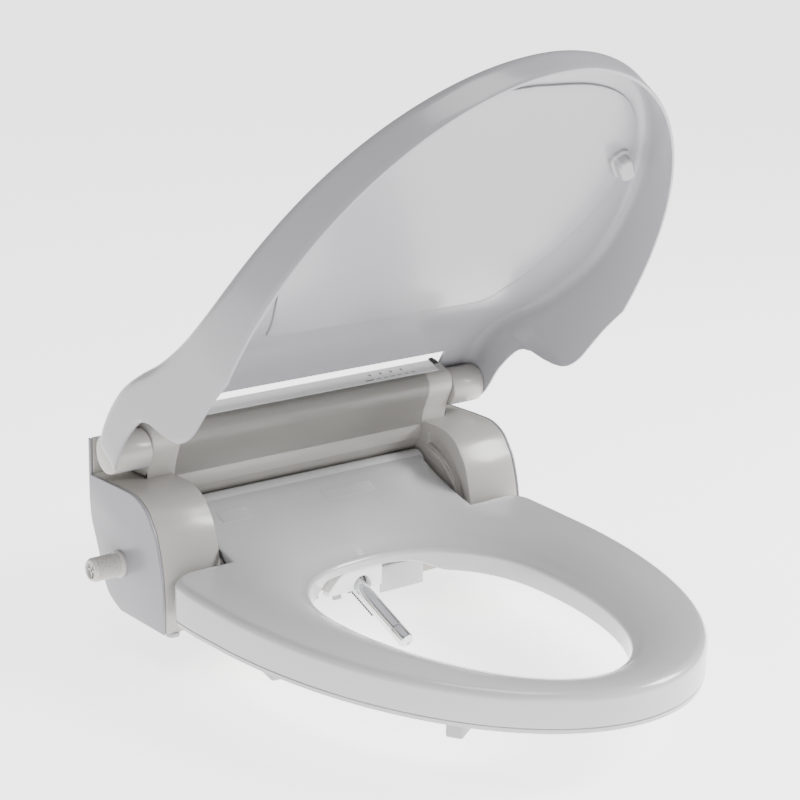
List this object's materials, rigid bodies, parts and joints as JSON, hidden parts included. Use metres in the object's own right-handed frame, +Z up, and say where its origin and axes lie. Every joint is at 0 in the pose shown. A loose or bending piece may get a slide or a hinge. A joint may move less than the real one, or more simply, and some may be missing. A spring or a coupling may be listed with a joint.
{
  "type": "electric bidet seat",
  "caption": "Electric bidet seat with a rear housing and two arms, a heated ring seat, a half-open domed lid, an extended spray wand, a drying flap and a side water inlet.",
  "frame": {"origin": "midway between the two fixing slots on the underside of the mounting plate, so z = 0 is the top of the bowl", "axes": "+X to the right seen from in front of the seat, +Y to the rear (the seat's nose points to -Y), +Z up away from the bowl"},
  "size_m": [0.4315, 0.519, 0.5336],
  "materials": {
    "steel_zinc": "zinc plated, satin",
    "steel_shaft": "ground and bright",
    "wand_chrome": "polished",
    "shell_white": "gloss moulded",
    "lid_white": "gloss moulded",
    "housing_white": "gloss moulded",
    "cap_white": "gloss moulded",
    "nylon_white": "moulded nylon",
    "inner_grey": "moulded",
    "black_plastic": "fine texture",
    "black_gloss": "gloss",
    "light_grey": "gloss moulded",
    "foot_rubber": "soft grey rubber",
    "seal_rubber": "black rubber",
    "inlet_plastic": "moulded",
    "lens": "clear lens",
    "board_green": "solder mask",
    "element": "sheathed element",
    "foil": "foil",
    "hose": "silicone hose",
    "charcoal": "granular"
  },
  "bodies": {
    "housing": {"mounting_plate": "black_plastic", "base_tray": "housing_white", "top_cover": "housing_white", "left_side_cap": "cap_white", "right_side_cap": "cap_white", "rear_trim": "black_gloss", "indicator_strip": "shell_white", "indicator_lenses": "lens", "sensor_window": "black_gloss", "base_screws": "steel_zinc", "base_pads": "foot_rubber", "water_inlet": "inlet_plastic", "inlet_strainer": "inner_grey", "inlet_valve": "inner_grey", "water_pump": "inner_grey", "heater_tank": "nylon_white", "heater_element": "element", "water_hoses": "hose", "nozzle_guide": "nylon_white", "nozzle_shroud": "shell_white", "nozzle_motor": "steel_zinc", "dryer_duct": "nylon_white", "dryer_heater": "element", "dryer_scroll": "black_plastic", "odour_fan_case": "black_plastic", "control_board": "board_green", "power_board": "board_green", "board_screws": "steel_zinc", "button_spring": "steel_shaft", "cord_gland": "seal_rubber", "seat_damper": "black_plastic", "lid_hinge_shafts": "steel_shaft", "lid_damper": "black_plastic"},
    "lid": {"lid_shell": "lid_white", "lid_inner_panel": "lid_white", "lid_bumpers": "foot_rubber", "lid_barrels": "housing_white"},
    "seat": {"seat_top_shell": "shell_white", "seat_base_plate": "shell_white", "seat_heater_foil": "foil", "seat_bumpers": "foot_rubber", "seat_hinge_pins": "steel_shaft"},
    "wand": {"nozzle_wand": "wand_chrome", "nozzle_tip": "wand_chrome", "nozzle_rack": "black_plastic"},
    "pinion": {"drive_pinion": "nylon_white"},
    "flap": {"dryer_flap": "light_grey"},
    "dryer_wheel": {"dryer_impeller": "black_plastic"},
    "odour_wheel": {"odour_impeller": "black_plastic"},
    "cassette": {"filter_cassette": "light_grey", "filter_charcoal": "charcoal"},
    "power_key": {"power_button": "light_grey"},
    "release_key": {"release_button": "light_grey"}
  },
  "joints": [
    {"name": "lid_hinge", "type": "hinge", "parent": "housing", "child": "lid", "pos_m": [0, 0.012, 0.138], "axis": [-1, 0, 0], "range_deg": [-57.4, 45]},
    {"name": "seat_hinge", "type": "hinge", "parent": "housing", "child": "seat", "pos_m": [0, 0.01, 0.072], "axis": [-1, 0, 0], "range_deg": [0, 55]},
    {"name": "wand_slide", "type": "slide", "parent": "housing", "child": "wand", "axis": [0, -0.9272, -0.3746], "range_m": [-0.066, 0]},
    {"name": "pinion_spin", "type": "hinge", "parent": "housing", "child": "pinion", "pos_m": [0, -0.0353, 0.00611], "axis": [1, 0, 0], "range_deg": [-800, 10]},
    {"name": "flap_hinge", "type": "hinge", "parent": "housing", "child": "flap", "pos_m": [0.047, -0.078, 0.016], "axis": [-1, 0, 0], "range_deg": [0, 60]},
    {"name": "dryer_spin", "type": "hinge", "parent": "housing", "child": "dryer_wheel", "pos_m": [0.049, 0.029, 0.118], "axis": [1, 0, 0], "continuous": true},
    {"name": "odour_spin", "type": "hinge", "parent": "housing", "child": "odour_wheel", "pos_m": [0.149, 0.014, 0.04], "axis": [1, 0, 0], "continuous": true},
    {"name": "cassette_slide", "type": "slide", "parent": "housing", "child": "cassette", "axis": [1, 0, 0], "range_m": [0, 0.055]},
    {"name": "power_press", "type": "slide", "parent": "housing", "child": "power_key", "axis": [-1, 0, 0], "range_m": [0, 0.002], "stiffness_N_per_m": 400, "springref_m": -0.001},
    {"name": "release_press", "type": "slide", "parent": "housing", "child": "release_key", "axis": [0, 1, 0], "range_m": [0, 0.002], "stiffness_N_per_m": 400, "springref_m": -0.001}
  ],
  "couplings": [
    {"joint": "pinion_spin", "follows": "wand_slide", "rad_per_m": 208.33}
  ]
}
